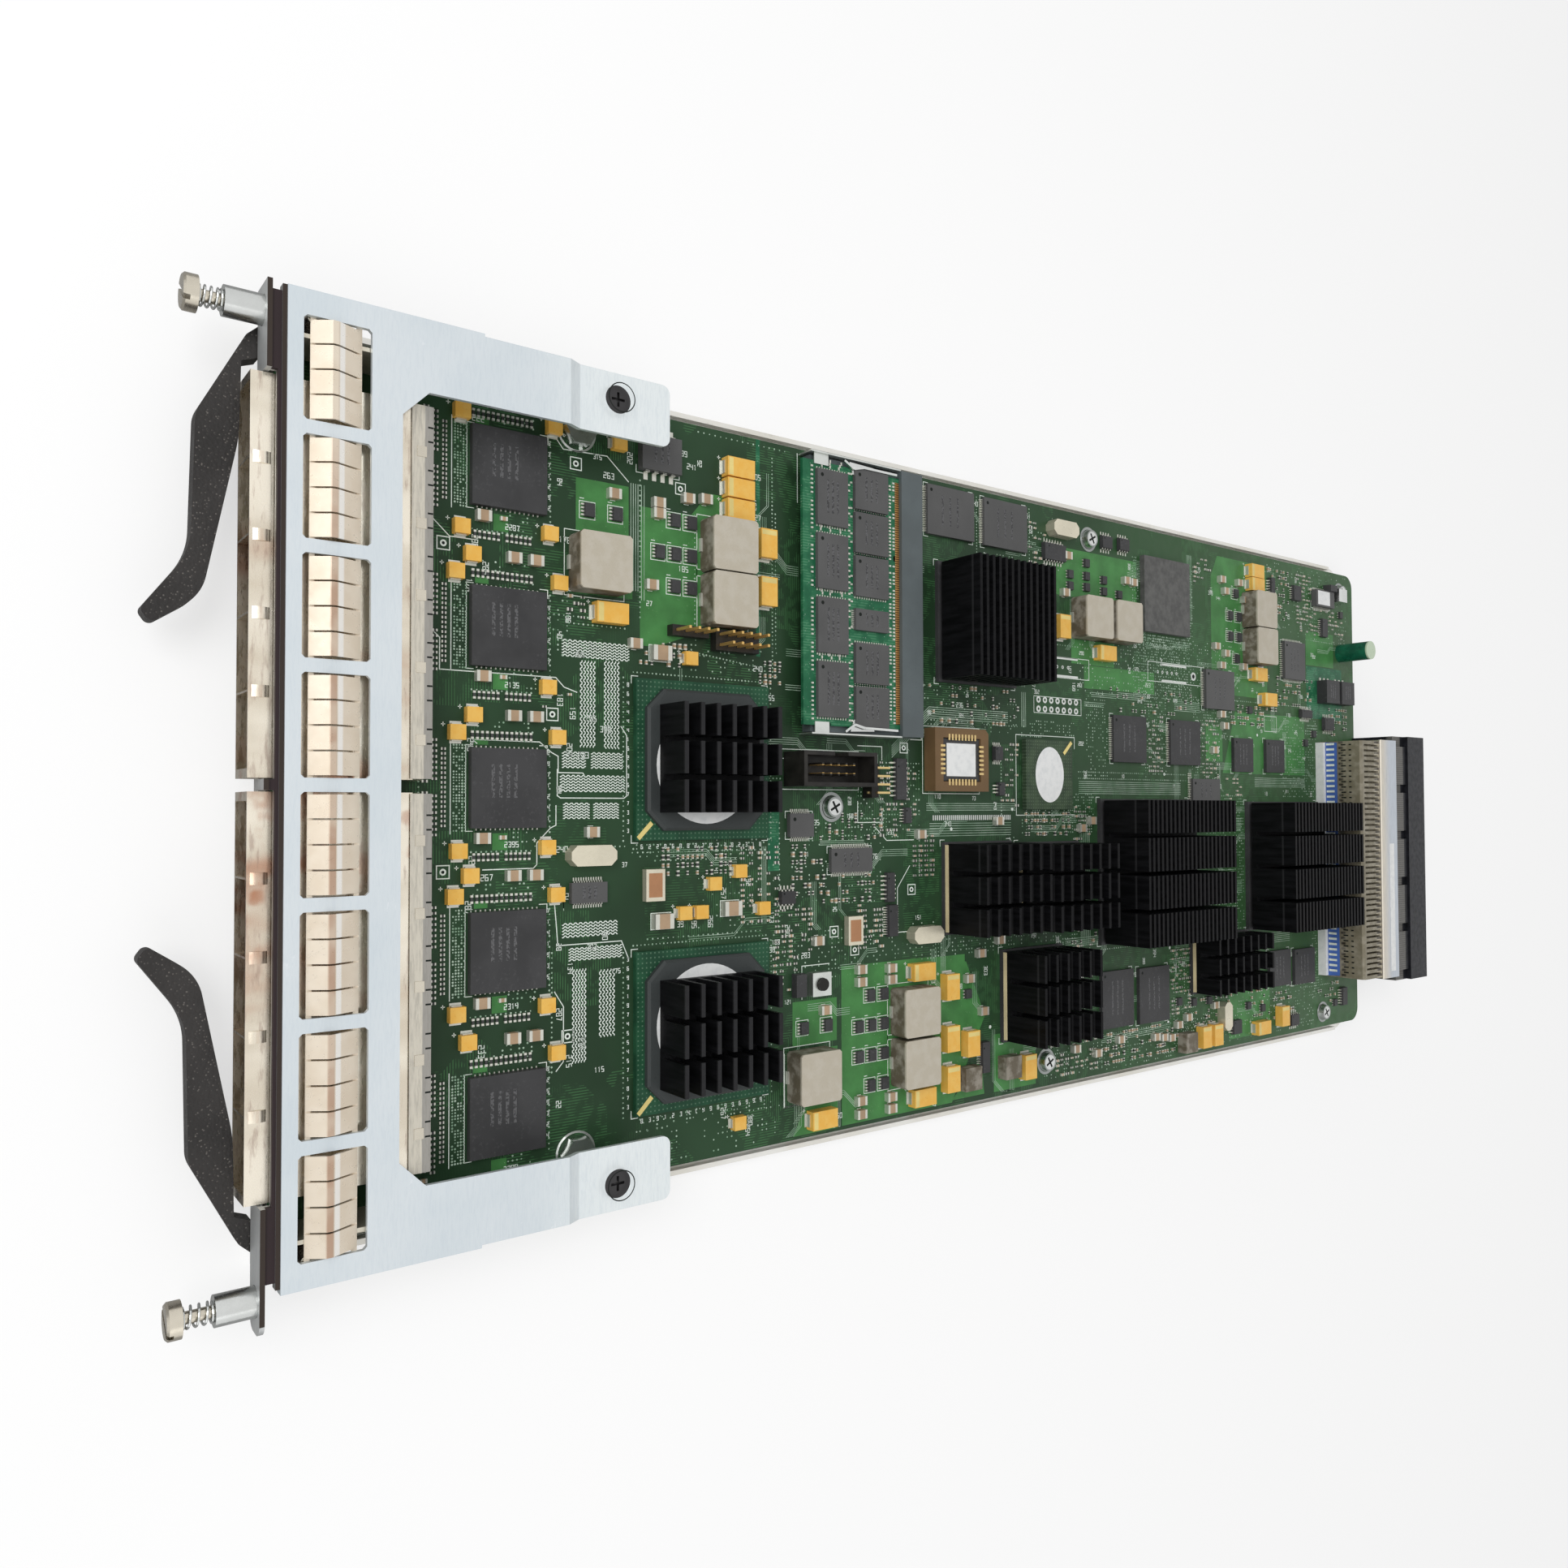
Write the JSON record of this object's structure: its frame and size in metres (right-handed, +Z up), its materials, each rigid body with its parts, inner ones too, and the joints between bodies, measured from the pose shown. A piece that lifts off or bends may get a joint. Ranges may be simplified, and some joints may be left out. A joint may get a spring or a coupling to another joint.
{
  "type": "switch line card",
  "caption": "Plug-in switch line card: sheet-metal tray and bezel, green circuit board with heat sinks, caged ports, ejector levers, captive screws and a rear connector.",
  "frame": {"origin": "middle of the footprint, on the underside of the tray", "axes": "+X across the card, to the right when facing the panel from the front with the card lying flat; +Y from the panel back to the backplane connector; +Z up from the tray through the board"},
  "size_m": [0.1932, 0.4476, 0.0252],
  "materials": {
    "tray": "zinc-plated sheet",
    "board_posts": "zinc plated",
    "board_screws": "bright zinc",
    "main_board": "green solder mask over glass fibre",
    "faceplate": "light plated steel",
    "emi_gasket": "dark conductive foam",
    "top_frame": "brushed, bluish plating",
    "frame_posts": "zinc plated",
    "frame_screws": "black oxide",
    "hex_nuts": "bright nickel",
    "contact_strip": "bright nickel",
    "lever_guard_left": "nickel",
    "lever_guard_right": "nickel",
    "lever_left": "fine texture",
    "lever_right": "fine texture",
    "lever_pins": "plain steel",
    "captive_ferrules": "bright nickel",
    "port_cage_left": "nickel silver",
    "port_cage_right": "nickel silver",
    "port_connectors": "moulded",
    "port_chips": "moulded epoxy",
    "switch_chip_bases": "laminate",
    "switch_chip_lids": "moulded epoxy",
    "sink_chips": "moulded epoxy",
    "dimm_slot": "moulded",
    "dimm_latches": "spring steel",
    "dimm_board": "green solder mask",
    "dimm_chips": "moulded epoxy",
    "power_inductors": "pressed iron powder",
    "small_inductors": "pressed iron powder",
    "tantalum_capacitors": "moulded",
    "flash_chips": "moulded epoxy",
    "memory_chips": "moulded epoxy",
    "logic_chips": "moulded epoxy",
    "control_chips": "moulded epoxy",
    "crystals": "plated",
    "chip_socket": "moulded",
    "socketed_chip": "moulded epoxy",
    "pin_headers": "moulded, gilt pins",
    "box_header": "moulded",
    "reset_switch": "plated",
    "reset_plunger": "moulded",
    "electrolytic_capacitor": "sleeved",
    "power_blocks": "moulded",
    "connector_wafers": "moulded",
    "connector_stiffener": "plated",
    "connector_housing": "moulded",
    "captive_screw_left": "nickel",
    "captive_spring_left": "spring wire",
    "captive_screw_right": "nickel",
    "captive_spring_right": "spring wire",
    "heat_sink_switch_left": "black anodised",
    "heat_sink_switch_right": "black anodised",
    "heat_sink_processor": "black anodised",
    "heat_sink_queue_front": "black anodised",
    "heat_sink_queue_rear": "black anodised",
    "heat_sink_forwarding": "black anodised",
    "heat_sink_fabric": "black anodised",
    "heat_sink_lookup": "black anodised",
    "heat_sink_clock": "black anodised"
  },
  "bodies": {
    "card": {"tray": "tray", "board_posts": "board_posts", "board_screws": "board_screws", "main_board": "main_board", "faceplate": "faceplate", "emi_gasket": "emi_gasket", "top_frame": "top_frame", "frame_posts": "frame_posts", "frame_screws": "frame_screws", "hex_nuts": "hex_nuts", "contact_strip": "contact_strip", "lever_guard_left": "lever_guard_left", "lever_guard_right": "lever_guard_right", "lever_pins": "lever_pins", "captive_ferrules": "captive_ferrules", "port_cage_left": "port_cage_left", "port_cage_right": "port_cage_right", "port_connectors": "port_connectors", "port_chips": "port_chips", "switch_chip_bases": "switch_chip_bases", "switch_chip_lids": "switch_chip_lids", "sink_chips": "sink_chips", "dimm_slot": "dimm_slot", "dimm_latches": "dimm_latches", "dimm_board": "dimm_board", "dimm_chips": "dimm_chips", "power_inductors": "power_inductors", "small_inductors": "small_inductors", "tantalum_capacitors": "tantalum_capacitors", "flash_chips": "flash_chips", "memory_chips": "memory_chips", "logic_chips": "logic_chips", "control_chips": "control_chips", "crystals": "crystals", "chip_socket": "chip_socket", "socketed_chip": "socketed_chip", "pin_headers": "pin_headers", "box_header": "box_header", "reset_switch": "reset_switch", "electrolytic_capacitor": "electrolytic_capacitor", "power_blocks": "power_blocks", "connector_wafers": "connector_wafers", "connector_stiffener": "connector_stiffener", "connector_housing": "connector_housing", "captive_spring_left": "captive_spring_left", "captive_spring_right": "captive_spring_right", "heat_sink_switch_left": "heat_sink_switch_left", "heat_sink_switch_right": "heat_sink_switch_right", "heat_sink_processor": "heat_sink_processor", "heat_sink_queue_front": "heat_sink_queue_front", "heat_sink_queue_rear": "heat_sink_queue_rear", "heat_sink_forwarding": "heat_sink_forwarding", "heat_sink_fabric": "heat_sink_fabric", "heat_sink_lookup": "heat_sink_lookup", "heat_sink_clock": "heat_sink_clock"},
    "left_lever": {"lever_left": "lever_left"},
    "right_lever": {"lever_right": "lever_right"},
    "left_captive_screw": {"captive_screw_left": "captive_screw_left"},
    "right_captive_screw": {"captive_screw_right": "captive_screw_right"},
    "reset_button": {"reset_plunger": "reset_plunger"}
  },
  "joints": [
    {"name": "left_lever_hinge", "type": "hinge", "parent": "card", "child": "left_lever", "pos_m": [-0.0892, -0.19669, 0.009], "axis": [0, 0, -1], "range_deg": [0, 45]},
    {"name": "right_lever_hinge", "type": "hinge", "parent": "card", "child": "right_lever", "pos_m": [0.0852, -0.19669, 0.009], "axis": [0, 0, 1], "range_deg": [0, 45]},
    {"name": "left_captive_screw_slide", "type": "slide", "parent": "card", "child": "left_captive_screw", "axis": [0, 1, 0], "range_m": [0, 0.0026], "stiffness_N_per_m": 300, "springref_m": -0.0005, "deforming": ["captive_spring_left"]},
    {"name": "right_captive_screw_slide", "type": "slide", "parent": "card", "child": "right_captive_screw", "axis": [0, 1, 0], "range_m": [0, 0.0036], "stiffness_N_per_m": 300, "springref_m": -0.0005, "deforming": ["captive_spring_right"]},
    {"name": "reset_press", "type": "slide", "parent": "card", "child": "reset_button", "axis": [0, 0, -1], "range_m": [0, 0.0003], "stiffness_N_per_m": 2000, "springref_m": -0.0001}
  ]
}
